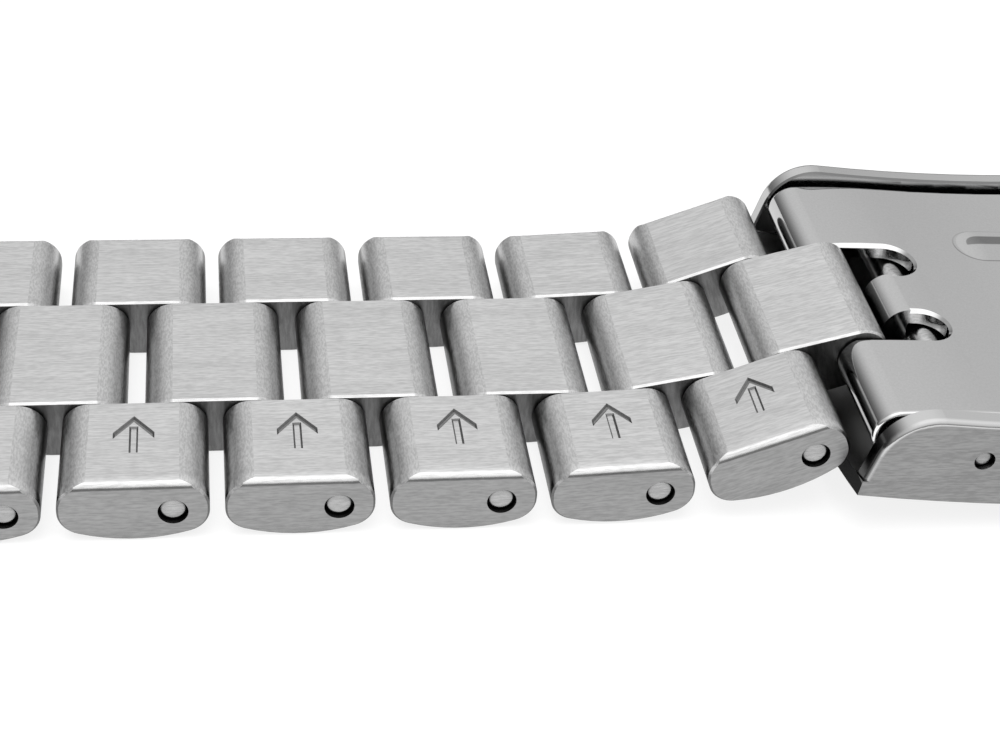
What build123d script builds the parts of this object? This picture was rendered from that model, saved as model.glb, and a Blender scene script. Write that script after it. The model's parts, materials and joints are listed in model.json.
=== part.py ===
"""Link watch bracelet, 20 mm wide, lying wrist side up with its folding clasp closed.

Two articulated strands of outer and centre links meet at an arched folding clasp.
All lengths are in millimetres. +X runs along the bracelet, +Z is the wrist side.
Modelling starts with X = 0 at the middle of the clasp; the last step moves the
whole part so that its origin is the centre of its footprint.
"""
from math import asin, atan2, cos, degrees, radians, sin, sqrt, tan
from build123d import *
import os

# Strand
strand_width = 20.0
link_thickness = 3.1
outer_link_length = 6.6
outer_hole_spacing = 3.4
centre_link_length = 6.45
centre_link_width = 7.93
centre_hole_spacing = 3.86
inner_corner_radius = 1.3
outer_corner_radius = 1.25
crown_radius = 8.0
side_edge_round = 0.35
edge_break = 0.1
side_gap = 0.06
left_link_count = 6
right_link_count = 4

# Pins of the strand
pin_radius = 0.66
pin_press_clearance = 0.01
pin_running_clearance = 0.04
pin_end_recess = 0.2
pin_end_round = 0.18
blind_pin_cover = 1.35
blind_hole_end_gap = 0.1

# Arrow engraved on the wrist side of every removable link
arrow_inset = 1.05
arrow_head_width = 1.83
arrow_head_depth = 1.2
arrow_stroke = 0.27
arrow_shaft_start = 0.75
arrow_length = 2.65
arrow_shaft_stroke = 0.4
arrow_depth = 0.1
arrow_wall_slope = 40.0

# How the first four links step down from the clasp to the table
descent_shares = (0.3216, 0.3935, 0.2326, 0.0523)

# Clasp cover, a channel bent to an arc whose outer face bulges below the walls
cover_length = 29.8
cover_width = 22.6
cover_arc_radius = 100.0
cover_crown = 1.25
cover_floor = 0.8
cover_wall = 1.0
cover_wall_height = 4.5
cover_end_lean = 1.25
cover_end_round = 2.6
cover_rim_round = 0.28

# Hinge between the cover and the middle blade, and between the two blades
hinge_inset = 5.65
hinge_height = 2.44
hinge_pin_radius = 0.48
hinge_pin_recess = 0.22
knuckle_radius = 0.8
knuckle_side_gap = 0.15
blade_hinge_inset = 8.5
blade_knuckle_wall_gap = 1.3
blade_knuckle_split_share = 0.5

# Middle blade
middle_blade_low = 1.75
middle_blade_thickness = 1.0
middle_blade_side_gap = 0.7
middle_waist_depth = 5.15

# Inner blade, the polished plate that shows
inner_blade_low = 3.35
inner_blade_thickness = 0.75
inner_blade_side_gap = 0.38
blade_end_run = 4.4
blade_edge_round = 0.22
notch_edge_break = 0.14
notch_edge_angle = 45.0
lobe_radius = 1.22
lobe_side_gap = 0.12
relief_reach = 6.33
tongue_half = 1.6
tongue_shift = -0.15
tab_setback = 2.85
tab_drop = 1.0
tab_bend_radius = 1.2
rib_width = 2.85
rib_height = 0.2
rib_inset = 5.8
rib_start = 9.05
rib_length = 10.5

# Spring bars that hold the strands to the clasp
bar_inset = 1.92
bar_height = 2.57
bar_radius = 0.66
bar_tip_radius = 0.4
bar_tip_clearance = 0.03
bar_tip_reach = 2.0
bar_tip_chamfer = 0.1
bar_neck_radius = 0.3
bar_tube_wall = 0.16
bar_head_length = 1.1
bar_lip = 0.3
bar_end_gap = 0.06
adjust_hole_count = 3
adjust_hole_pitch = 1.7
block_height = 3.9
block_margin = 1.25

# End links and the spring bars that go to the watch case
end_link_reach = 7.4
end_link_web_start = 1.8
case_radius = 18.5
case_bar_setback = 5.3
case_bar_radius = 0.75
case_bar_clearance = 0.03
case_bar_inset = 0.2
case_tip_reach = 1.2
row_groove_width = 0.3
row_groove_depth = 0.2

# Push-buttons that lock the inner blade
button_hinge_spacing = 4.5
button_length = 4.0
button_height = 1.5
button_proud = 0.6
button_round = 0.3
button_slot_gap = 0.06
button_centre_height = 2.3
button_travel = 0.6
flange_margin = 0.5
flange_thickness = 0.7
flange_wall_gap = 0.05
arm_low = 2.6
arm_thickness = 0.5
arm_width = 3.0
hook_thickness = 0.7
hook_depth = 3.5
hook_clearance = 0.1
hook_rise = 0.3
hook_chamfer = 0.25
window_margin = 1.0
post_depth = 4.2
post_thickness = 0.8
post_width = 2.4
post_top = 2.8
spring_outer_radius = 0.6
spring_wire_radius = 0.11
spring_turns = 6
spring_centre_height = 1.95
spring_end_gap = 0.03

# One overrun for every cut
overrun = 1.0

half_strand = strand_width / 2
half_thickness = link_thickness / 2
half_centre = centre_link_width / 2
outer_inner_face = half_centre + side_gap
half_cover = cover_length / 2
wall_outer = cover_width / 2
wall_inner = wall_outer - cover_wall
blade_half = wall_inner - inner_blade_side_gap
middle_half = wall_inner - middle_blade_side_gap
middle_waist_half = wall_inner - middle_waist_depth
hook_inner = wall_inner - hook_depth
post_outer = wall_inner - post_depth
blade_knuckle_outer_half = wall_inner - blade_knuckle_wall_gap
blade_knuckle_inner_half = blade_knuckle_outer_half * blade_knuckle_split_share
rib_centre = wall_inner - rib_inset
lobe_inner_face = half_centre + lobe_side_gap
inner_blade_top = inner_blade_low + inner_blade_thickness


z_arc = cover_crown + cover_arc_radius


def at_height(x, height):
    """Z of a point x from the clasp's middle and a height above the walls' lower edges."""
    ring = cover_arc_radius - height
    return z_arc - sqrt(ring * ring - x * x)


x_bar = half_cover - bar_inset
z_bar = at_height(x_bar, bar_height)
x_hinge = -half_cover + hinge_inset
z_hinge = at_height(x_hinge, hinge_height)
x_blade_hinge = half_cover - blade_hinge_inset
z_blade_hinge = at_height(x_blade_hinge, inner_blade_top - knuckle_radius)
x_button = x_blade_hinge - button_hinge_spacing


def prism(face, y_low, y_high):
    """A sketch drawn in X and Z, given depth from y_low to y_high."""
    return extrude(Plane.XZ.offset(-y_high) * face, amount=y_high - y_low)


def rod(x, z, radius, y_low, y_high):
    return prism(Pos(x, z) * Circle(radius), y_low, y_high)


def block(x_low, x_high, y_low, y_high, z_low, z_high):
    """A box from its low and high corners."""
    size = (x_high - x_low, y_high - y_low, z_high - z_low)
    return Pos(x_low, y_low, z_low) * Box(*size, align=(Align.MIN, Align.MIN, Align.MIN))


def mirrored(part):
    """A piece with its twin on the other side of the bracelet's long centre plane."""
    return part + mirror(part, about=Plane.XZ)


def side_loop(part, axis_end):
    """Edges round the face that lies furthest along Y (axis_end -1) or least (0)."""
    return part.faces().sort_by(Axis.Y)[axis_end].edges()


def link_profile(length):
    """Cross-section of a link: flat wrist side, crowned outer side, rounded ends."""
    crown = Pos(0, crown_radius - half_thickness) * Circle(crown_radius)
    face = Rectangle(length, link_thickness) & crown
    top = [v for v in face.vertices() if v.Y > 0]
    face = fillet(top, inner_corner_radius)
    low = [v for v in face.vertices() if v.Y < 0]
    return fillet(low, outer_corner_radius)


def groove(outline):
    """Engraving with sloping sides, from its outline on the wrist side, to cut from a link."""
    floor = offset(outline, -arrow_depth * tan(radians(arrow_wall_slope)), kind=Kind.INTERSECTION)
    return extrude(Pos(0, 0, half_thickness - arrow_depth) * floor,
                   amount=2 * arrow_depth, taper=-arrow_wall_slope)


def arrow_cut():
    """Arrow that points across the link, a chevron head on a single shaft."""
    apex_y = -(outer_inner_face + arrow_inset)
    half_head = arrow_head_width / 2
    rise = arrow_stroke * sqrt(arrow_head_depth**2 + half_head**2) / half_head
    corners = [(0, 0), (half_head, -arrow_head_depth), (half_head, -arrow_head_depth - rise), (0, -rise),
               (-half_head, -arrow_head_depth - rise), (-half_head, -arrow_head_depth)]
    head = make_face(Polyline(*corners, close=True))
    shaft = Pos(0, -arrow_shaft_start) * Rectangle(arrow_shaft_stroke, arrow_length - arrow_shaft_start,
                                                   align=(Align.CENTER, Align.MAX))
    return Pos(0, apex_y, 0) * (groove(head) + groove(shaft))


def top_edge_round(reach):
    """What the rounded top edge takes off a link's outer face, a bar along X with a hollow side."""
    bar = block(-reach, reach, -half_strand - overrun, -half_strand + side_edge_round,
                half_thickness - side_edge_round, half_thickness + overrun)
    centre = Pos(0, -half_strand + side_edge_round, half_thickness - side_edge_round)
    return bar - centre * Rot(0, 90, 0) * Cylinder(side_edge_round, 2 * reach + 2 * overrun)


def outer_link(arrowed):
    """Outer link on the -Y side; the clasp end is +X. The plain one is mirrored to +Y."""
    link = prism(link_profile(outer_link_length), -half_strand, -outer_inner_face)
    link = chamfer(side_loop(link, 0) + side_loop(link, -1), edge_break)
    link -= top_edge_round(outer_link_length)
    x_hole = outer_hole_spacing / 2
    hole = pin_radius + pin_press_clearance
    link -= rod(x_hole, 0, hole, -half_strand - overrun, -outer_inner_face + overrun)
    blind_end = half_strand - blind_pin_cover + blind_hole_end_gap
    link -= rod(-x_hole, 0, hole, -blind_end, -outer_inner_face + overrun)
    if arrowed:
        return link - arrow_cut()
    return mirror(link, about=Plane.XZ)


def centre_link():
    link = prism(link_profile(centre_link_length), -half_centre, half_centre)
    link = chamfer(side_loop(link, 0) + side_loop(link, -1), edge_break)
    hole = pin_radius + pin_running_clearance
    for x in (-centre_hole_spacing / 2, centre_hole_spacing / 2):
        link -= rod(x, 0, hole, -half_strand, half_strand)
    return link


def pin(x, half_length):
    """A plain pin with domed ends."""
    piece = rod(x, 0, pin_radius, -half_length, half_length)
    return fillet(piece.edges().filter_by(GeomType.CIRCLE), pin_end_round)


def link_pins():
    """The removable pin near the clasp end and the hidden pin at the other end."""
    x_hole = outer_hole_spacing / 2
    return [pin(x_hole, half_strand - pin_end_recess), pin(-x_hole, half_strand - blind_pin_cover)]


def end_link():
    """Solid link that closes a strand: two ears on the last pin, a web hollowed to the case."""
    reach = end_link_reach + case_radius - sqrt(case_radius**2 - half_strand**2)
    nose = (outer_link_length - outer_hole_spacing) / 2
    face = Pos(-reach, 0) * Rectangle(reach + nose, link_thickness, align=(Align.MIN, Align.CENTER))
    top = [v for v in face.vertices() if v.X > 0 and v.Y > 0]
    face = fillet(top, inner_corner_radius)
    low = [v for v in face.vertices() if v.X > 0 and v.Y < 0]
    body = prism(fillet(low, outer_corner_radius), -half_strand, half_strand)
    body = chamfer(side_loop(body, 0) + side_loop(body, -1), edge_break)
    body -= mirrored(Pos(-reach / 2, 0, 0) * top_edge_round(reach))
    body -= block(-end_link_web_start, reach, -outer_inner_face, outer_inner_face,
                  -link_thickness, link_thickness)
    case = Cylinder(case_radius, link_thickness * 2)
    body -= Pos(-end_link_reach - case_radius, 0, 0) * case
    for y in (-half_centre, half_centre):
        x_low = -end_link_reach - case_radius
        body -= block(x_low, -end_link_web_start, y - row_groove_width / 2, y + row_groove_width / 2,
                      -link_thickness, -half_thickness + row_groove_depth)
    hole = pin_radius + pin_press_clearance
    blind_end = half_strand - blind_pin_cover + blind_hole_end_gap
    body -= rod(0, 0, hole, -blind_end, blind_end)
    return body - rod(-case_bar_setback, 0, case_bar_radius + case_bar_clearance, -strand_width, strand_width)


def spring_bar(x, z, radius, tube_half, tip_reach):
    """A tube with crimped ends and the two headed tips that spring out of it."""
    bore = radius - bar_tube_wall
    tube = rod(x, z, radius, -tube_half, tube_half)
    tube -= rod(x, z, bore, -tube_half + bar_lip, tube_half - bar_lip)
    tube -= rod(x, z, bar_tip_radius + bar_tip_clearance, -tube_half - overrun, tube_half + overrun)
    head_end = tube_half - bar_lip - bar_tip_clearance
    neck_end = tube_half + case_bar_inset
    tip = rod(x, z, bar_tip_radius, neck_end, tube_half + tip_reach)
    tip = chamfer(side_loop(tip, -1), bar_tip_chamfer)
    neck = Cone(bar_neck_radius, bar_tip_radius, neck_end - head_end)
    tip += Pos(x, (head_end + neck_end) / 2, z) * Rot(-90, 0, 0) * neck
    tip += rod(x, z, bore - bar_tip_clearance, head_end - bar_head_length, head_end)
    return [tube, tip, mirror(tip, about=Plane.XZ)]


def band(low, high, x_low, x_high):
    """Curved strip between two heights above the cover's outer face."""
    ring = Circle(cover_arc_radius - low) - Circle(cover_arc_radius - high)
    clip = Rectangle(x_high - x_low, cover_arc_radius, align=(Align.MIN, Align.MAX))
    return (Pos(0, z_arc) * ring) & (Pos(x_low, z_arc / 2) * clip)


def cover_profile():
    """Side of the cover: an arched strip with leaning, rounded ends."""
    z_tip = at_height(half_cover, 0)
    tall = at_height(half_cover, cover_wall_height) + overrun
    lean_at = half_cover - cover_end_lean * (tall - z_tip) / cover_wall_height
    outline = make_face(Polyline(
        (-half_cover, -overrun), (half_cover, -overrun), (half_cover, z_tip), (lean_at, tall),
        (-lean_at, tall), (-half_cover, z_tip), close=True))
    face = band(0, cover_wall_height, -half_cover - overrun, half_cover + overrun) & outline
    top = [v for v in face.vertices() if v.Y > at_height(half_cover, cover_wall_height / 2)]
    return fillet(top, cover_end_round)


def crowned(low, high):
    """Slice of the cover between two heights, bulging downwards across its width."""
    def edge(height):
        return ThreePointArc((-wall_outer, height), (0, height - cover_crown), (wall_outer, height))
    sides = [Line((y, low), (y, high)) for y in (-wall_outer, wall_outer)]
    section = Plane.YZ * make_face(edge(low) + edge(high) + sides)
    turn = degrees(asin(half_cover / cover_arc_radius))
    axis = Axis((0, 0, cover_arc_radius), (0, 1, 0))
    return Pos(0, 0, cover_crown) * revolve(section.rotate(axis, turn), axis=axis, revolution_arc=-2 * turn)


def adjust_positions():
    return [half_cover - bar_inset - i * adjust_hole_pitch for i in range(adjust_hole_count)]


def on_button(part):
    """Move a piece drawn about X = 0 along the cover's arc to the buttons."""
    angle = degrees(asin(x_button / cover_arc_radius))
    return Pos(0, 0, z_arc) * Rot(0, -angle, 0) * Pos(0, 0, -cover_arc_radius) * part


def clasp_cover():
    wall = prism(cover_profile(), -wall_outer, -wall_inner)
    wall = fillet(side_loop(wall, 0), cover_rim_round)
    wall = chamfer(side_loop(wall, -1), edge_break)
    x_low = adjust_positions()[-1] - block_margin
    cheek = prism(band(-cover_crown, block_height, x_low, half_cover - bar_inset + block_margin),
                  -wall_inner - cover_wall / 2, -lobe_inner_face)
    post = on_button(block(-post_width / 2, post_width / 2, -post_outer, -post_outer + post_thickness,
                           -cover_crown, post_top))
    inside = crowned(0, cover_wall_height)
    shell = mirrored(wall) + crowned(0, cover_floor) + mirrored((cheek + post) & inside)
    pin_hole = hinge_pin_radius + pin_press_clearance
    shell -= rod(x_hinge, z_hinge, pin_hole, -cover_width, cover_width)
    tip_hole = bar_tip_radius + bar_tip_clearance
    for x in adjust_positions():
        shell -= rod(x, at_height(x, bar_height), tip_hole, -cover_width, cover_width)
    slot_half = button_length / 2 + button_slot_gap
    slot_low = button_centre_height - button_height / 2 - button_slot_gap
    slot_high = button_centre_height + button_height / 2 + button_slot_gap
    slot = block(-slot_half, slot_half, -wall_outer - overrun, -wall_inner + overrun / 4, slot_low, slot_high)
    return shell - mirrored(on_button(slot))


def hinge_pin(x, z, half_length):
    piece = rod(x, z, hinge_pin_radius, -half_length, half_length)
    return fillet(piece.edges().filter_by(GeomType.CIRCLE), pin_end_round)


def middle_blade():
    top = middle_blade_low + middle_blade_thickness
    blade = prism(band(middle_blade_low, top, x_hinge, x_blade_hinge), -middle_half, middle_half)
    swing = knuckle_radius + knuckle_side_gap
    cheek = block(x_blade_hinge - 2 * swing, x_blade_hinge + overrun,
                  blade_knuckle_inner_half, cover_width, -overrun, cover_width)
    blade -= mirrored(cheek)
    window = block(-button_length / 2 - window_margin, button_length / 2 + window_margin,
                   middle_waist_half, cover_width, -overrun, cover_width)
    blade -= mirrored(on_button(window))
    blade += rod(x_hinge, z_hinge, knuckle_radius, -middle_half, middle_half)
    blade += rod(x_blade_hinge, z_blade_hinge, knuckle_radius,
                 -blade_knuckle_inner_half, blade_knuckle_inner_half)
    hole = hinge_pin_radius + pin_running_clearance
    blade -= rod(x_hinge, z_hinge, hole, -cover_width, cover_width)
    return blade - rod(x_blade_hinge, z_blade_hinge, hole, -cover_width, cover_width)


def blade_end_arc(height, lobe_drop):
    """Where one face of the plate eases down to the lobes, tangent to the plate's arc."""
    x_join = -x_bar + blade_end_run
    z_join = at_height(x_join, height)
    return TangentArc((x_join, z_join), (-x_bar, z_bar + lobe_radius - lobe_drop),
                      tangent=(z_join - z_arc, -x_join))


def inner_blade_profile():
    """Side of the polished plate: arched, then easing down to the lobes at the strand."""
    upper = blade_end_arc(inner_blade_top, 0)
    lower = blade_end_arc(inner_blade_low, inner_blade_thickness)
    ends = [Line(upper @ 0, lower @ 0), Line(upper @ 1, lower @ 1)]
    plate = band(inner_blade_low, inner_blade_top, -x_bar + blade_end_run, x_blade_hinge)
    return plate + make_face([upper, lower] + ends)


def raised_rib():
    """Round-topped stiffening bead that follows the plate's arc."""
    radius = (rib_width**2 / 4 + rib_height**2) / (2 * rib_height)
    reach = cover_arc_radius - inner_blade_top - rib_height + radius
    axis = Axis((0, rib_centre, z_arc), (0, 1, 0))
    low = -half_cover + rib_start + rib_width / 2
    high = -half_cover + rib_start + rib_length - rib_width / 2
    turns = [-degrees(asin(x / cover_arc_radius)) for x in (low, high)]
    section = Plane.YZ * Pos(rib_centre, z_arc - reach) * Circle(radius)
    bead = revolve(section.rotate(axis, turns[0]), axis=axis, revolution_arc=turns[1] - turns[0])
    for turn in turns:
        bead += (Pos(0, rib_centre, z_arc - reach) * Sphere(radius)).rotate(axis, turn)
    skin = band(inner_blade_top - inner_blade_thickness / 2, inner_blade_top + 2 * rib_height,
                low - rib_width, high + rib_width)
    return bead & prism(skin, rib_centre - rib_width, rib_centre + rib_width)


def relief_notch(side):
    """Round-ended notch with a flared upper edge, beside the tongue that clears the hinge pin."""
    inner = tongue_half + side * tongue_shift
    radius = (lobe_inner_face - inner) / 2
    x_round = -half_cover + relief_reach - radius
    run = Rectangle(x_round + x_bar + 2 * lobe_radius, 2 * radius, align=(Align.MAX, Align.CENTER))
    outline = Pos(x_round, side * (inner + radius)) * (run + Circle(radius))
    arc = blade_end_arc(inner_blade_top, 0)
    join, lobe = arc @ 0, arc @ 1
    tilt = degrees(atan2(lobe.Y - join.Y, join.X - lobe.X))
    flare = extrude(Pos(-join.X, 0) * outline, amount=2 * notch_edge_break, taper=-notch_edge_angle)
    return extrude(outline, amount=cover_width) + \
        Pos(join.X, 0, join.Y) * Rot(0, tilt, 0) * Pos(0, 0, -notch_edge_break) * flare


def centre_tab():
    """The bent-down end of the tongue between the relief notches, tangent to the plate."""
    x_tab = -x_bar + tab_setback
    arc = blade_end_arc(inner_blade_top, 0)
    x_arc, z_arc_end = arc.arc_center.X, arc.arc_center.Y
    share = tab_bend_radius / arc.radius
    z_tab = z_arc_end + sqrt(arc.radius**2 - (x_tab - x_arc)**2)
    knee = Pos(x_tab + share * (x_arc - x_tab), z_tab + share * (z_arc_end - z_tab)) * Circle(tab_bend_radius)
    knee &= band(inner_blade_low - tab_drop, cover_wall_height, x_tab - 2 * tab_bend_radius, x_tab)
    return prism(knee, tongue_shift - tongue_half, tongue_shift + tongue_half)


def inner_blade():
    blade = prism(inner_blade_profile(), -blade_half, blade_half)
    blade += rod(-x_bar, z_bar, lobe_radius, -blade_half, blade_half)
    blade = fillet(side_loop(blade, 0) + side_loop(blade, -1), blade_edge_round)
    blade -= relief_notch(1) + relief_notch(-1)
    blade -= block(-x_bar - 2 * lobe_radius, -x_bar + tab_setback, -lobe_inner_face, lobe_inner_face,
                   -overrun, cover_width)
    blade += centre_tab()
    blade += mirrored(raised_rib())
    swing = knuckle_radius + knuckle_side_gap
    inner = blade_knuckle_inner_half + knuckle_side_gap
    blade -= block(x_blade_hinge - swing, x_blade_hinge + overrun, -inner, inner, -overrun, cover_width)
    blade += mirrored(rod(x_blade_hinge, z_blade_hinge, knuckle_radius, inner, blade_knuckle_outer_half))
    pin_hole = hinge_pin_radius + pin_press_clearance
    blade -= rod(x_blade_hinge, z_blade_hinge, pin_hole, -cover_width, cover_width)
    blade -= rod(-x_bar, z_bar, bar_tip_radius + bar_tip_clearance, -cover_width, cover_width)
    slot_half = arm_width / 2 + hook_clearance
    slot_inner = hook_inner - button_travel - hook_clearance
    slot_outer = hook_inner + hook_thickness + hook_clearance
    slot = block(-slot_half, slot_half, slot_inner, slot_outer, -overrun, cover_width)
    return blade - mirrored(on_button(slot))


def push_button():
    """Button on the -Y side: cap, retaining flange, arm and the hook that catches the plate."""
    low = button_centre_height - button_height / 2
    high = button_centre_height + button_height / 2
    cap = block(-button_length / 2, button_length / 2, -wall_outer - button_proud,
                -wall_inner + flange_wall_gap, low, high)
    cap = fillet(side_loop(cap, 0), button_round)
    flange_outer = wall_inner - flange_wall_gap
    flange_half = button_length / 2 + flange_margin
    piece = cap + block(-flange_half, flange_half, -flange_outer, -flange_outer + flange_thickness,
                        low - flange_margin, arm_low + arm_thickness)
    piece += block(-arm_width / 2, arm_width / 2, -flange_outer, -hook_inner,
                   arm_low, arm_low + arm_thickness)
    hook = block(-arm_width / 2, arm_width / 2, -hook_inner - hook_thickness, -hook_inner,
                 arm_low, inner_blade_top + hook_rise)
    piece += chamfer(hook.faces().sort_by(Axis.Z)[-1].edges(), hook_chamfer)
    return on_button(piece)


def button_spring():
    """Coil spring between the cover's post and the button's flange, along Y."""
    radius = spring_outer_radius - spring_wire_radius
    y_out = wall_inner - flange_wall_gap - flange_thickness
    y_low = post_outer + spring_end_gap + spring_wire_radius
    y_high = y_out - spring_end_gap - spring_wire_radius
    path = Helix(pitch=(y_high - y_low) / spring_turns, height=y_high - y_low, radius=radius)
    wire = Plane(origin=path @ 0, z_dir=path % 0) * Circle(spring_wire_radius)
    coil = sweep(wire, path=path)
    return on_button(Pos(0, -y_low, spring_centre_height) * Rot(90, 0, 0) * coil)


def chain(count):
    """Rest pins of one strand, in its own X that runs away from the clasp.

    Each entry is the pin's distance and height and the tilt of the link that hangs on it.
    """
    spacings = []
    for i in range(count):
        spacings += [centre_hole_spacing, outer_hole_spacing]
    spacings += [centre_hole_spacing]
    drop = z_bar - half_thickness
    stations = []
    x, z = x_bar, z_bar
    for i, spacing in enumerate(spacings):
        tilt = asin(descent_shares[i] * drop / spacing) if i < len(descent_shares) else 0
        stations.append((x, z, degrees(tilt), spacing))
        x += spacing * cos(tilt)
        z -= spacing * sin(tilt)
    stations.append((x, z, 0, 0))
    return stations


def hang(side, station, part):
    """Place a link drawn about its own middle with its clasp end on a pin."""
    x, z, tilt, spacing = station
    turn = 0 if side == "left" else 180
    sign = -1 if side == "left" else 1
    place = Pos(sign * x, 0, z) * Rot(0, 0, turn) * Rot(0, -tilt, 0) * Pos(-spacing / 2, 0, 0)
    return place * part


counts = {"left": left_link_count, "right": right_link_count}
stations = {side: chain(count) for side, count in counts.items()}

def build():
    """Every node's solids, by name, before the final move."""
    nodes = {}
    shapes = {
        "outer_link_arrowed": [outer_link(True)],
        "outer_link_plain": [outer_link(False)],
        "pins": link_pins(),
    }
    centre = centre_link()
    closing = end_link()
    closing_pin = pin(0, half_strand - blind_pin_cover)
    case_bar = spring_bar(-case_bar_setback, 0, case_bar_radius, half_strand - case_bar_inset, case_tip_reach)
    for side, count in counts.items():
        row = stations[side]
        nodes[f"{side}_clasp_link"] = [hang(side, row[0], centre)]
        for i in range(count):
            for name, solids in shapes.items():
                nodes[f"{side}_{i + 1}_{name}"] = [hang(side, row[2 * i + 1], s) for s in solids]
            nodes[f"{side}_{i + 1}_centre_link"] = [hang(side, row[2 * i + 2], centre)]
        nodes[f"{side}_end_link"] = [hang(side, row[-1], closing)]
        nodes[f"{side}_end_link_pin"] = [hang(side, row[-1], closing_pin)]
        nodes[f"{side}_case_spring_bar"] = [hang(side, row[-1], s) for s in case_bar]
    nodes["clasp_cover"] = [clasp_cover()]
    nodes["cover_hinge_pin"] = [hinge_pin(x_hinge, z_hinge, wall_outer - hinge_pin_recess)]
    nodes["middle_blade"] = [middle_blade()]
    nodes["blade_hinge_pin"] = [hinge_pin(x_blade_hinge, z_blade_hinge, blade_knuckle_outer_half)]
    nodes["inner_blade"] = [inner_blade()]
    tube_half = half_centre - bar_end_gap
    nodes["blade_spring_bar"] = spring_bar(-x_bar, z_bar, bar_radius, tube_half, bar_tip_reach)
    nodes["cover_spring_bar"] = spring_bar(x_bar, z_bar, bar_radius, tube_half, bar_tip_reach)
    nodes["near_push_button"] = [push_button()]
    nodes["far_push_button"] = [mirror(push_button(), about=Plane.XZ)]
    nodes["button_springs"] = [button_spring(), mirror(button_spring(), about=Plane.XZ)]
    return nodes


nodes = build()
lows = [s.bounding_box().min.X for solids in nodes.values() for s in solids]
highs = [s.bounding_box().max.X for solids in nodes.values() for s in solids]
shift_x = -(min(lows) + max(highs)) / 2
os.makedirs("parts", exist_ok=True)
for name, solids in nodes.items():
    moved = [Pos(shift_x, 0, 0) * s for s in solids]
    export_step(Compound(children=moved) if len(moved) > 1 else moved[0], f"parts/{name}.step")
print(len(nodes), "nodes, shift", round(shift_x, 3))
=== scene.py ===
"""Looks of the link watch bracelet: brushed and polished steel on a plain white table.

Lengths are in metres. A pair of numbers named for a lean, a rise or a place is the span over
which one finish gives way to the next. Leans and rises are parts of the surface's normal.
"""
import json
import math

import bpy
from mathutils import Matrix, Vector

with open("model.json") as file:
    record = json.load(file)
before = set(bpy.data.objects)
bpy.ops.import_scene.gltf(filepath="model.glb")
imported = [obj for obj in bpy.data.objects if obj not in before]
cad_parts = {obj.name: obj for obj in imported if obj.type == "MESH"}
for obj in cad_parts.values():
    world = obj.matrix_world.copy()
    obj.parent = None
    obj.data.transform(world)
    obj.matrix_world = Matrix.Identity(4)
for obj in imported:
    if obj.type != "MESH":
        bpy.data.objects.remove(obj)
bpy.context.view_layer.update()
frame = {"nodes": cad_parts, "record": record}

MM = 0.001

# Ends of a ramp that falls instead of rising
FALL = (1.0, 0.0)

# Camera, solved from the photograph, in millimetres and degrees
CAMERA_TARGET = (-22.40, 0.0, 1.2)
CAMERA_DISTANCE = 95.95
CAMERA_AZIMUTH = -10.383
CAMERA_ELEVATION = 36.017
CAMERA_ROLL = 4.902
CAMERA_LENS = 70.45
SENSOR_WIDTH = 36.0
CLIP_START = 0.005

# Table, seen as white with the bracelet's soft shadow kept
FLOOR_HALF = 2.0
FLOOR_WHITE = 0.86
FLOOR_GLOW = 0.82
FLOOR_SEEN_WHITE = 0.20

# Studio: its brightness by height, and how it falls off towards the bracelet's ends
SKY_LOW, SKY_HIGH = (-0.05, 0.65), (0.65, 0.98)
SKY_HORIZON, SKY_MIDDLE, SKY_ZENITH = 0.22, 0.98, 1.25
SKY_LEFT, SKY_RIGHT = (-0.85, -0.15), (0.15, 0.85)
SKY_LEFT_FALL, SKY_RIGHT_FALL = 0.55, 0.90

# Softbox that draws the table's soft shadow, with its power in watts
LAMP_PLACE = (-0.10, -0.12, 0.42)
LAMP_SIZE = (0.30, 0.30)
LAMP_WATTS = 1.3

# Brushing: streaks per metre along X, Y and Z, their noise and tones, and how deep they cut
FINE_STREAKS = (1800.0, 11000.0, 11000.0)
LONG_STREAKS = (550.0, 8500.0, 8500.0)
CROSS_STREAKS = (13000.0, 4000.0, 13000.0)
UPRIGHT_STREAKS = (7000.0, 7000.0, 1300.0)
BROAD_STREAKS = (150.0, 900.0, 900.0)
NOISE_DETAIL = 2.0
SOFT_NOISE, HARSH_NOISE = 0.5, 0.6
LONG_SHARE = 0.4
STREAK_SPAN, STREAK_TONES = (0.35, 0.65), (0.85, 1.13)
BROAD_SPAN, BROAD_TONES = (0.3, 0.7), (0.96, 1.03)
STREAK_DEPTH = 0.000006
STREAK_STRENGTH = 0.6
PLAIN_DEPTH = STREAK_DEPTH / 3

# Painted shade in crevices: how far off a neighbour darkens the steel's colour, the open shares
# between which it does so, and the darkest tones of that painted shade
CREVICE_REACH = 0.0014
CREVICE_OPEN = (0.05, 0.55)
CREVICE_SAMPLES = 6
LINK_DARKEST_SHADE = 0.14
COVER_DARKEST_SHADE = 0.14
PLATE_DARKEST_SHADE = 0.3

# Link faces: reflectance and roughness of each kind; painted shade darkens ends, sides and lines
TOP_GREY, TOP_ROUGH = 0.63, (0.30, 0.40)
# Ends darker than the top, and near black where they turn down: painted shade
END_SHADE_GREY, TURN_SHADE_GREY = 0.56, 0.10
# Edge near white: painted highlight; its lower roughness is a real polish
EDGE_HIGHLIGHT_GREY, EDGE_ROUGH = 0.97, 0.26
# Sides darker than the top, darker still between the links: painted shade; their roughness is
# their own
SIDE_SHADE_GREY, SIDE_ROUGH = 0.335, 0.34
BETWEEN_SHADE_GREY = 0.22
# Dark lines where the top turns down and along the low rim: painted shade
SHADE_LINE_GREY = 0.16

# Least rise of a link's flat top face
FLAT_RISE = 0.8

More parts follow.
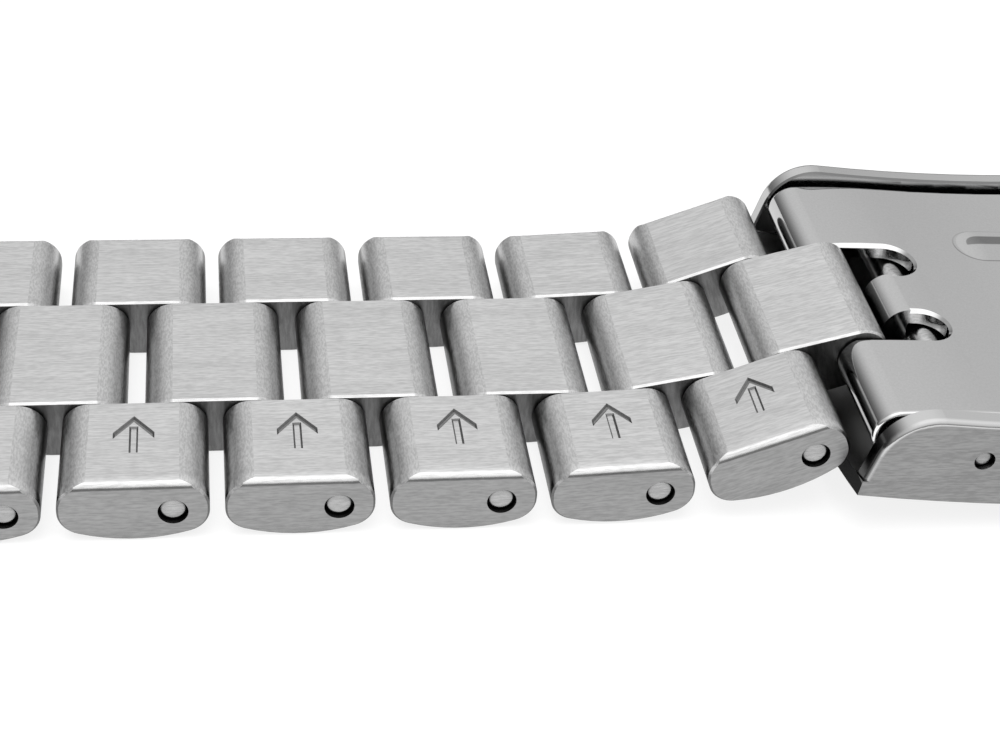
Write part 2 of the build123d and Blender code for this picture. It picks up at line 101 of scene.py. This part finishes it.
# Link faces: where each kind lies
END_LEAN, TURN_LEAN = (0.03, 0.09), (0.86, 0.96)
EDGE_LEAN, EDGE_AT_ENDS = (0.04, 0.45), 0.15
LOW_RIM_RISE, LOW_RIM_LEAN = (0.25, 0.5), (0.08, 0.3)
LINE_LEAN, SIDE_LEAN = (0.80, 0.92), (0.97, 0.995)
BETWEEN_PLACE = (0.006, 0.008)

# Near long edge, worn round: where the wear lies, and its lean
WORN_PLACE = (-0.0098, -0.0092)
WORN_LEAN = 0.30

# Engraved arrows: their depth, half width, shaft, neck and end, and the tone of their painted
# shade
ARROW_SUNK = (-0.000012, -0.000004)
ARROW_HALF = (0.0011, 0.001122)
ARROW_SHAFT = (0.0002, 0.00024)
ARROW_NECK = (0.005643, 0.0057)
ARROW_END = (0.00792, 0.0080)
ARROW_WALL_RISE, ARROW_FACE_RISE = (0.93, 0.99), (0.3, 0.4)
ARROW_SHADE_GREY = 0.24

# Pin holes of an arrowed link: where their walls lie from its middle, and the tone of the painted
# shade in them
HOLE_REACH = (0.0026, 0.002652)
HOLE_HALF = (0.00075, 0.0007875)
HOLE_LEAN = (0.4, 0.6)
HALF_THICKNESS = 0.00155
HOLE_SHADE_GREY = 0.04

# Ends of the pins: where they lie, their rounding, and a ring by the hole's wall; both take
# painted shade
PIN_END_START, PIN_END_STOP = (0.0093, 0.009393), (0.0098505, 0.00995)
PIN_ROUND_LEAN, PIN_FACE_LEAN = (0.75, 0.95), (0.2, 0.5)
PIN_RING_OPEN = (0.58, 0.88)
PIN_RING_REACH = 0.0009
PIN_RING_SAMPLES = 8
PIN_SHADE_GREY = 0.08

# Clasp cover: reflectance and roughness of its faces, with painted shade on walls, rim, floor and
# floor end
# The brushed walls' darker grey is painted shade; their roughness is their own
SHADED_WALL_GREY, WALL_ROUGH = 0.30, 0.33
# The rim's foot and its sloping ends on the near side take painted shade
RIM_GREY, RIM_FOOT_SHADE_GREY, RIM_END_SHADE_GREY = 0.62, 0.22, 0.13
POLISHED_ROUGH, POLISHED_STREAKS = 0.14, 0.08
# The inner wall keeps the steel's grey; the floor under the plate is darker with painted shade
INNER_WALL_GREY, COVER_FLOOR_SHADE_GREY = 0.62, 0.28
# The floor's end face: near black with painted shade; its roughness is its own
FLOOR_END_SHADE_GREY, FLOOR_END_ROUGH = 0.06, 0.8
COVER_EDGE_TINT = (0.45, 0.45, 0.45, 1.0)

# Clasp cover: where each kind of face lies
RIM_RISE, RIM_FOOT_LEAN = (0.03, 0.25), (-0.5, -0.15)
RIM_END_LEAN, NEAR_PLACE = (-0.82, -0.50), (-0.001, 0.001)
INNER_PLACE, FLOOR_PLACE = (0.01035, 0.0104), (0.0102, 0.01025)
FLOOR_END_HEIGHT, FLOOR_END_LEAN = (0.0030, 0.00305), (0.5, 0.8)

# Polished plate: reflectance, roughness, faint orange peel, and the painted highlight on the lips
# of its notches
PLATE_GREY, PLATE_ROUGH = 0.515, (0.06, 0.09)
PLATE_TONES = (PLATE_GREY * 0.975, PLATE_GREY * 1.015)
DUST_GRAINS, PEEL_GRAINS = (9000.0, 9000.0, 9000.0), (500.0, 500.0, 500.0)
GRAIN_SPAN = (0.3, 0.7)
PEEL_DEPTH, PEEL_STRENGTH = 0.0000004, 0.5
LIP_HIGHLIGHT_GREY, LIP_LEAN = 0.97, (-0.55, -0.35)

# The plate's ribs: where they lie, how wide the rib and its crest are, and the crest's lean
RIB_MIDDLE = 0.0045
RIB_ENDS = (0.002835, 0.010485)
RIB_RISE = (0.5, 0.8)
RIB_HALF = (0.00141075, 0.001425)
RIB_CREST = (0.000675, 0.00075)
RIB_CREST_START = (-0.00015, -0.0000375)
RIB_LEAN = 0.22
# Crease round each rib's foot, darkened with painted shade, more on the side towards the plate's
# middle
CREASE_PLACE, CREASE_SIDES = (0.001311, 0.00138225), (-0.00075, 0.00075)
CREASE_FADE = (1.0, 0.3)
CREASE_SHADE_TONE = 0.50

# Plain steels: reflectance, roughness and the darkest tone of the painted shade in their crevices
PLAIN_STEELS = {
    "blade_steel": {"grey": 0.55, "rough": 0.2, "darkest_shade": 0.6},
    "button_steel": {"grey": 0.55, "rough": 0.25, "darkest_shade": 0.3},
    "pin_steel": {"grey": 0.45, "rough": 0.2, "darkest_shade": 0.5, "pin": True},
    "spring_wire": {"grey": 0.55, "rough": 0.25, "darkest_shade": 0.3},
}
PLAIN_ROUGH_SPREAD = (0.9, 1.1)


def add_camera():
    """Camera at the photograph's viewing angle."""
    azimuth, elevation = math.radians(CAMERA_AZIMUTH), math.radians(CAMERA_ELEVATION)
    level = math.cos(elevation)
    back = Vector((math.sin(azimuth) * level, -math.cos(azimuth) * level, math.sin(elevation)))
    right = (-back).cross(Vector((0, 0, 1))).normalized()
    up = right.cross(-back)
    roll = math.radians(CAMERA_ROLL)
    side = math.cos(roll) * right + math.sin(roll) * up
    top = -math.sin(roll) * right + math.cos(roll) * up
    data = bpy.data.cameras.new("camera")
    data.lens = CAMERA_LENS
    data.sensor_width = SENSOR_WIDTH
    data.clip_start = CLIP_START
    camera = bpy.data.objects.new("camera", data)
    place = Matrix((side, top, back)).transposed().to_4x4()
    place.translation = (Vector(CAMERA_TARGET) + back * CAMERA_DISTANCE) * MM
    camera.matrix_world = place
    bpy.context.scene.collection.objects.link(camera)
    bpy.context.scene.camera = camera


def add_lamp():
    """Softbox over the table; the steel takes its reflections from the studio alone."""
    data = bpy.data.lights.new("softbox", "AREA")
    data.shape = "RECTANGLE"
    data.size, data.size_y = LAMP_SIZE
    data.energy = LAMP_WATTS
    lamp = bpy.data.objects.new("softbox", data)
    lamp.location = LAMP_PLACE
    lamp.rotation_euler = (-Vector(LAMP_PLACE)).to_track_quat("-Z", "Y").to_euler()
    lamp.visible_glossy = False
    bpy.context.scene.collection.objects.link(lamp)


class Shader:
    """Builds one node tree; every method but put and axes returns a new node's output."""

    def __init__(self, tree):
        self.tree = tree

    def node(self, kind, inputs=None, output=0, **settings):
        node = self.tree.nodes.new("ShaderNode" + kind)
        for key, value in settings.items():
            setattr(node, key, value)
        for key, value in (inputs or {}).items():
            self.put(node.inputs[key], value)
        return node.outputs[output]

    def put(self, socket, value):
        """Link an output to a socket, or set the socket's own value."""
        if isinstance(value, bpy.types.NodeSocket):
            self.tree.links.new(value, socket)
        else:
            socket.default_value = value

    def math(self, operation, a, b=0.0):
        return self.node("Math", {0: a, 1: b}, operation=operation)

    def times(self, a, b):
        return self.math("MULTIPLY", a, b)

    def minus(self, a, b):
        return self.math("SUBTRACT", a, b)

    def larger(self, a, b):
        return self.math("MAXIMUM", a, b)

    def absolute(self, a):
        return self.math("ABSOLUTE", a)

    def ramp(self, value, span, ends=(0.0, 1.0), smooth=True):
        """Map a value across a span to two ends, held flat beyond both."""
        inputs = {"Value": value, "From Min": span[0], "From Max": span[1],
                  "To Min": ends[0], "To Max": ends[1]}
        return self.node("MapRange", inputs,
                         interpolation_type="SMOOTHSTEP" if smooth else "LINEAR")

    def mix(self, factor, a, b):
        return self.node("Mix", {0: factor, 2: a, 3: b}, data_type="FLOAT")

    def noise(self, vector, scale, roughness=SOFT_NOISE):
        """Noise of 0 to 1 in a space scaled by three numbers."""
        placed = self.node("Mapping", {"Vector": vector, "Scale": scale})
        return self.node("TexNoise", {"Vector": placed, "Scale": 1.0, "Detail": NOISE_DETAIL,
                                      "Roughness": roughness})

    def grey(self, value):
        return self.node("CombineColor", {0: value, 1: value, 2: value})

    def point(self):
        return self.node("TexCoord", output="Object")

    def normal(self):
        return self.node("TexCoord", output="Normal")

    def leaned(self, lean):
        """The surface's normal, leaned along Y."""
        added = self.node("VectorMath", {0: self.node("NewGeometry", output="Normal"),
                                         1: self.node("CombineXYZ", {1: lean})}, operation="ADD")
        return self.node("VectorMath", {0: added}, operation="NORMALIZE")

    def open_share(self, reach, samples):
        """How much of its surroundings a place sees within reach, 0 to 1."""
        return self.node("AmbientOcclusion", {"Distance": reach}, output="AO", samples=samples)

    def axes(self, vector):
        """The three numbers of a vector."""
        split = self.tree.nodes.new("ShaderNodeSeparateXYZ")
        self.put(split.inputs[0], vector)
        return split.outputs[0], split.outputs[1], split.outputs[2]


def new_material(name):
    """Metal with its shader's builder and its surface node."""
    material = bpy.data.materials.new(name)
    material.use_nodes = True
    surface = material.node_tree.nodes["Principled BSDF"]
    surface.inputs["Metallic"].default_value = 1.0
    return material, Shader(material.node_tree), surface


def turned(shader, vector, tilt):
    """A vector in the frame of a link that hangs tilted about Y."""
    if not tilt:
        return vector
    return shader.node("VectorRotate", {"Vector": vector, "Angle": -tilt}, rotation_type="Y_AXIS")


def brushing(shader, point, end=None, upright=None):
    """Height of the streaks, and the tone that they give the steel.

    They run along X, but across a link's ends and upright on the faces between links.
    """
    fine = shader.noise(point, FINE_STREAKS, HARSH_NOISE)
    long = shader.noise(point, LONG_STREAKS, HARSH_NOISE)
    broad = shader.noise(point, BROAD_STREAKS)
    height = shader.mix(LONG_SHARE, fine, long)
    if end:
        height = shader.mix(end, height, shader.noise(point, CROSS_STREAKS, HARSH_NOISE))
    if upright:
        height = shader.mix(upright, height, shader.noise(point, UPRIGHT_STREAKS, HARSH_NOISE))
    tone = shader.times(shader.ramp(height, STREAK_SPAN, STREAK_TONES),
                        shader.ramp(broad, BROAD_SPAN, BROAD_TONES))
    return height, tone


def painted_crevice_shade(shader, tone, darkest_shade):
    """A tone darkened with painted shade where neighbouring pieces close in."""
    open_share = shader.open_share(CREVICE_REACH, CREVICE_SAMPLES)
    return shader.times(tone, shader.ramp(open_share, CREVICE_OPEN, (darkest_shade, 1.0), False))


def finish_steel(shader, surface, tone, rough, height, depth, strength=STREAK_STRENGTH,
                 normal=None):
    """Give the surface its tone, roughness and relief, over its own or another normal."""
    shader.put(surface.inputs["Base Color"], shader.grey(tone))
    shader.put(surface.inputs["Roughness"], rough)
    inputs = {"Strength": strength, "Distance": depth, "Height": height}
    if normal:
        inputs["Normal"] = normal
    shader.put(surface.inputs["Normal"], shader.node("Bump", inputs))


def engraving(shader, point, n_z, arrow):
    """1 on the sloping walls and in the head of a link's arrow, which take painted shade, 0
    elsewhere.
    """
    middle, top = arrow
    p_x, p_y, p_z = shader.axes(point)
    off = shader.absolute(shader.minus(p_x, middle))
    away = shader.absolute(p_y)
    near = shader.ramp(off, ARROW_HALF, FALL)
    sunk = shader.ramp(p_z, [top + depth for depth in ARROW_SUNK], FALL)
    head = shader.larger(shader.ramp(off, ARROW_SHAFT), shader.ramp(away, ARROW_NECK, FALL))
    wall = shader.larger(shader.ramp(n_z, ARROW_WALL_RISE, FALL), head)
    clear = shader.times(shader.ramp(away, ARROW_END, FALL), shader.ramp(n_z, ARROW_FACE_RISE))
    return shader.times(shader.times(near, sunk), shader.times(wall, clear))


def pin_holes(shader, point, lean, arrow):
    """1 on the walls of a link's pin holes, which take painted shade, 0 elsewhere."""
    middle, top = arrow
    p_x, _, p_z = shader.axes(point)
    off = shader.absolute(shader.minus(p_x, middle))
    high = shader.absolute(shader.minus(p_z, top - HALF_THICKNESS))
    inside = shader.times(shader.ramp(off, HOLE_REACH, FALL), shader.ramp(high, HOLE_HALF, FALL))
    return shader.times(inside, shader.ramp(lean, HOLE_LEAN, FALL))


def link_steel(name, tilt, arrow):
    """Satin steel brushed along the link, with painted shade on its ends, sides and lines, and a
    polished edge with a painted highlight.
    """
    material, shader, surface = new_material(name)
    point = turned(shader, shader.point(), tilt)
    n_x, n_y, n_z = shader.axes(turned(shader, shader.normal(), tilt))
    p_y = shader.axes(point)[1]
    end_lean, lean = shader.absolute(n_x), shader.absolute(n_y)
    end = shader.ramp(end_lean, END_LEAN)
    edge = shader.times(shader.ramp(lean, EDGE_LEAN), shader.mix(end, 1.0, EDGE_AT_ENDS))
    low_rim_shade = shader.times(shader.ramp(n_z, LOW_RIM_RISE, FALL), shader.ramp(lean, LOW_RIM_LEAN))
    shade_line = shader.larger(shader.ramp(lean, LINE_LEAN), low_rim_shade)
    side = shader.ramp(lean, SIDE_LEAN)
    between = shader.ramp(shader.absolute(p_y), BETWEEN_PLACE, FALL)
    height, wear = brushing(shader, point, end, shader.times(side, between))
    # Painted shade: darker ends, near black where they turn down
    tone = shader.mix(end, TOP_GREY, END_SHADE_GREY)
    tone = shader.mix(shader.ramp(end_lean, TURN_LEAN), tone, TURN_SHADE_GREY)
    # Painted highlight on the edge
    tone = shader.mix(edge, tone, EDGE_HIGHLIGHT_GREY)
    # Painted shade: dark lines where the top turns down and along the low rim
    tone = shader.mix(shade_line, tone, SHADE_LINE_GREY)
    # Painted shade on the sides, darker between the links
    tone = shader.mix(side, tone, shader.mix(between, SIDE_SHADE_GREY, BETWEEN_SHADE_GREY))
    if arrow:
        # Painted shade in the arrow's engraving
        tone = shader.mix(engraving(shader, point, n_z, arrow), tone, ARROW_SHADE_GREY)
        # Painted shade in the pin holes
        tone = shader.mix(pin_holes(shader, point, lean, arrow), tone, HOLE_SHADE_GREY)
    tone = painted_crevice_shade(shader, shader.times(tone, wear), LINK_DARKEST_SHADE)
    rough = shader.mix(edge, shader.ramp(height, STREAK_SPAN, TOP_ROUGH), EDGE_ROUGH)
    rough = shader.mix(side, rough, SIDE_ROUGH)
    worn = shader.leaned(shader.ramp(p_y, WORN_PLACE, (-WORN_LEAN, 0.0)))
    finish_steel(shader, surface, tone, rough, height, STREAK_DEPTH, normal=worn)
    return material


def cover_steel():
    """Brushed walls, a polished rim and inner side, an unpolished floor; painted shade on walls,
    rim foot and ends, floor and floor end.
    """
    material, shader, surface = new_material("cover_steel")
    point = shader.point()
    n_x, n_y, n_z = shader.axes(shader.normal())
    _, p_y, p_z = shader.axes(point)
    across = shader.absolute(p_y)
    inward = shader.times(n_y, shader.math("SIGN", p_y))
    rim = shader.ramp(n_z, RIM_RISE)
    rim_foot = shader.times(rim, shader.ramp(inward, RIM_FOOT_LEAN, FALL))
    # Only the near side's sloping rim ends take painted shade
    rim_end = shader.times(shader.ramp(n_x, RIM_END_LEAN, FALL),
                           shader.ramp(p_y, NEAR_PLACE, FALL))
    inner = shader.ramp(across, INNER_PLACE, FALL)
    floor = shader.ramp(across, FLOOR_PLACE, FALL)
    floor_end = shader.times(shader.ramp(p_z, FLOOR_END_HEIGHT, FALL),
                             shader.ramp(shader.absolute(n_x), FLOOR_END_LEAN))
    polish = shader.times(shader.larger(rim, inner), shader.minus(1.0, floor))
    height, wear = brushing(shader, point)
    # Painted shade: darker brushed walls, and the rim's sloping ends on the near side darker
    # still
    tone = shader.mix(rim, shader.times(wear, SHADED_WALL_GREY),
                      shader.mix(rim_end, RIM_GREY, RIM_END_SHADE_GREY))
    tone = shader.mix(inner, tone, INNER_WALL_GREY)
    # Painted shade on the floor under the plate
    tone = shader.mix(floor, tone, COVER_FLOOR_SHADE_GREY)
    # Painted shade on the floor's end face
    tone = shader.mix(floor_end, tone, FLOOR_END_SHADE_GREY)
    # Painted shade at the rim's foot
    tone = shader.mix(rim_foot, tone, RIM_FOOT_SHADE_GREY)
    # The inner wall keeps its tone; the rest of the cover takes the painted crevice shade
    lit_wall = shader.minus(inner, floor)
    tone = shader.mix(lit_wall, painted_crevice_shade(shader, tone, COVER_DARKEST_SHADE), tone)
    rough = shader.mix(polish, WALL_ROUGH, POLISHED_ROUGH)
    rough = shader.mix(floor_end, rough, FLOOR_END_ROUGH)
    height = shader.times(height, shader.mix(polish, 1.0, POLISHED_STREAKS))
    surface.inputs["Specular Tint"].default_value = COVER_EDGE_TINT
    finish_steel(shader, surface, tone, rough, height, STREAK_DEPTH)
    return material


def rib_form(shader, point, n_y, n_z):
    """Normal that gives the ribs a flat foot and a leaning crest, and where the crease round them
    takes painted shade.
    """
    p_x, p_y, _ = shader.axes(point)
    low, high = RIB_ENDS
    across = shader.minus(shader.absolute(p_y), RIB_MIDDLE)
    beyond = shader.larger(shader.larger(shader.minus(low, p_x), shader.minus(p_x, high)), 0.0)
    reach = shader.math("SQRT", shader.math("ADD", shader.times(beyond, beyond),
                                            shader.times(across, across)))
    raised = shader.times(shader.ramp(n_z, RIB_RISE), shader.ramp(reach, RIB_HALF, FALL))
    crest = shader.times(shader.ramp(reach, RIB_CREST, FALL),
                         shader.ramp(across, RIB_CREST_START))
    lean = shader.times(shader.times(crest, RIB_LEAN), shader.math("SIGN", p_y))
    normal = shader.leaned(shader.times(raised, shader.minus(lean, n_y)))
    crease = shader.times(shader.ramp(reach, CREASE_PLACE),
                          shader.ramp(across, CREASE_SIDES, CREASE_FADE))
    return normal, shader.times(raised, crease)


def plate_steel():
    """Mirror polish with a faint orange peel, painted shade in the creases round the ribs, and
    painted highlights on the notches' lips.
    """
    material, shader, surface = new_material("plate_steel")
    point = shader.point()
    _, n_y, n_z = shader.axes(shader.normal())
    peel = shader.noise(point, PEEL_GRAINS)
    dust = shader.noise(point, DUST_GRAINS)
    normal, crease = rib_form(shader, point, n_y, n_z)
    tone = shader.ramp(dust, GRAIN_SPAN, PLATE_TONES)
    # Painted shade in the crease round the ribs
    tone = shader.mix(crease, tone, PLATE_GREY * CREASE_SHADE_TONE)
    # Painted highlight on the notches' lips
    tone = shader.mix(shader.ramp(n_y, LIP_LEAN, FALL), tone, LIP_HIGHLIGHT_GREY)
    tone = painted_crevice_shade(shader, tone, PLATE_DARKEST_SHADE)
    rough = shader.ramp(peel, GRAIN_SPAN, PLATE_ROUGH)
    finish_steel(shader, surface, tone, rough, peel, PEEL_DEPTH, PEEL_STRENGTH, normal)
    return material


def pin_end_shade(shader, point):
    """1 where painted shade goes on a pin's end: its rounding and a ring where its hole closes
    in; 0 elsewhere.
    """
    away = shader.absolute(shader.axes(point)[1])
    lean = shader.absolute(shader.axes(shader.normal())[1])
    at_end = shader.times(shader.ramp(away, PIN_END_START), shader.ramp(away, PIN_END_STOP, FALL))
    rounding = shader.times(at_end, shader.ramp(lean, PIN_ROUND_LEAN, FALL))
    open_share = shader.open_share(PIN_RING_REACH, PIN_RING_SAMPLES)
    ring = shader.times(shader.ramp(lean, PIN_FACE_LEAN),
                        shader.ramp(open_share, PIN_RING_OPEN, FALL))
    return shader.larger(ring, rounding)


def plain_steel(name, grey, rough, darkest_shade, pin=False):
    """Fine satin steel for pins, springs and the pieces inside the clasp."""
    material, shader, surface = new_material(name)
    point = shader.point()
    height, wear = brushing(shader, point)
    tone = painted_crevice_shade(shader, shader.times(wear, grey), darkest_shade)
    if pin:
        # Painted shade on the pins' ends
        tone = shader.mix(pin_end_shade(shader, point), tone, PIN_SHADE_GREY)
    spread = [rough * share for share in PLAIN_ROUGH_SPREAD]
    finish_steel(shader, surface, tone, shader.ramp(height, STREAK_SPAN, spread), height,
                 PLAIN_DEPTH)
    return material


def wrist_side(node):
    """Tilt about Y of a link's flat top face, and in its own frame the link's middle and top."""
    faces = [p for p in node.data.polygons if p.normal.z > FLAT_RISE]
    widest = max(faces, key=lambda p: p.area)
    tilt = math.atan2(widest.normal.x, widest.normal.z)
    back = Matrix.Rotation(-tilt, 3, "Y")
    corners = [back @ v.co for v in node.data.vertices]
    along = [c.x for c in corners]
    return tilt, (min(along) + max(along)) / 2, max(c.z for c in corners)


def dress(frame):
    """Give every node the finish that its slot in the record names."""
    slots = {row["node"]: row["material_slot"] for row in frame["record"]["subparts"]}
    finishes = {"cover_steel": cover_steel(), "polished_steel": plate_steel()}
    finishes.update({name: plain_steel(name, **look) for name, look in PLAIN_STEELS.items()})
    for name, node in frame["nodes"].items():
        slot = slots[name]
        if slot in ("outer_link_steel", "centre_link_steel"):
            tilt, middle, top = wrist_side(node)
            arrow = (middle, top) if "arrowed" in name else None
            slot = name if arrow else f"{slot}_{round(math.degrees(tilt))}"
            if slot not in finishes:
                finishes[slot] = link_steel(slot, tilt, arrow)
        node.data.materials.clear()
        node.data.materials.append(finishes[slot])


def seen_ray(shader):
    """1 for rays from the camera, mirrors and glass, 0 for the light that falls on things."""
    path = shader.tree.nodes.new("ShaderNodeLightPath")
    seen = shader.math("ADD", path.outputs["Is Camera Ray"], path.outputs["Is Glossy Ray"])
    seen = shader.math("ADD", seen, path.outputs["Is Transmission Ray"])
    return shader.math("MINIMUM", seen, 1.0)


def add_floor():
    """White table: the camera and mirror rays see it glow, and it takes the shadow."""
    mesh = bpy.data.meshes.new("floor")
    far = FLOOR_HALF
    mesh.from_pydata([(-far, -far, 0), (far, -far, 0), (far, far, 0), (-far, far, 0)], [],
                     [(0, 1, 2, 3)])
    floor = bpy.data.objects.new("floor", mesh)
    bpy.context.scene.collection.objects.link(floor)
    material = bpy.data.materials.new("table_white")
    material.use_nodes = True
    tree = material.node_tree
    tree.nodes.clear()
    shader = Shader(tree)
    seen = seen_ray(shader)
    tone = shader.mix(seen, FLOOR_WHITE, FLOOR_SEEN_WHITE)
    lit = shader.node("BsdfDiffuse", {"Color": shader.grey(tone)})
    glow = shader.node("Emission", {"Strength": shader.times(seen, FLOOR_GLOW)})
    both = shader.node("AddShader", {0: lit, 1: glow})
    out = tree.nodes.new("ShaderNodeOutputMaterial")
    tree.links.new(both, out.inputs["Surface"])
    mesh.materials.append(material)


def add_world():
    """Studio round the table: bright overhead, dark low down and towards the bracelet's ends."""
    world = bpy.data.worlds.new("studio")
    bpy.context.scene.world = world
    world.use_nodes = True
    tree = world.node_tree
    shader = Shader(tree)
    d_x, _, d_z = shader.axes(shader.node("TexCoord", output="Generated"))
    low = shader.ramp(d_z, SKY_LOW, (SKY_HORIZON, SKY_MIDDLE))
    height = shader.mix(shader.ramp(d_z, SKY_HIGH), low, SKY_ZENITH)
    aside = shader.times(shader.ramp(d_x, SKY_LEFT, (SKY_LEFT_FALL, 1.0)),
                         shader.ramp(d_x, SKY_RIGHT, (1.0, SKY_RIGHT_FALL)))
    path = tree.nodes.new("ShaderNodeLightPath")
    level = shader.mix(path.outputs["Is Camera Ray"], shader.times(height, aside), 1.0)
    shader.put(tree.nodes["Background"].inputs["Color"], shader.grey(level))


add_camera()
add_world()
add_floor()
add_lamp()
dress(frame)
bpy.context.scene.view_settings.view_transform = "Standard"
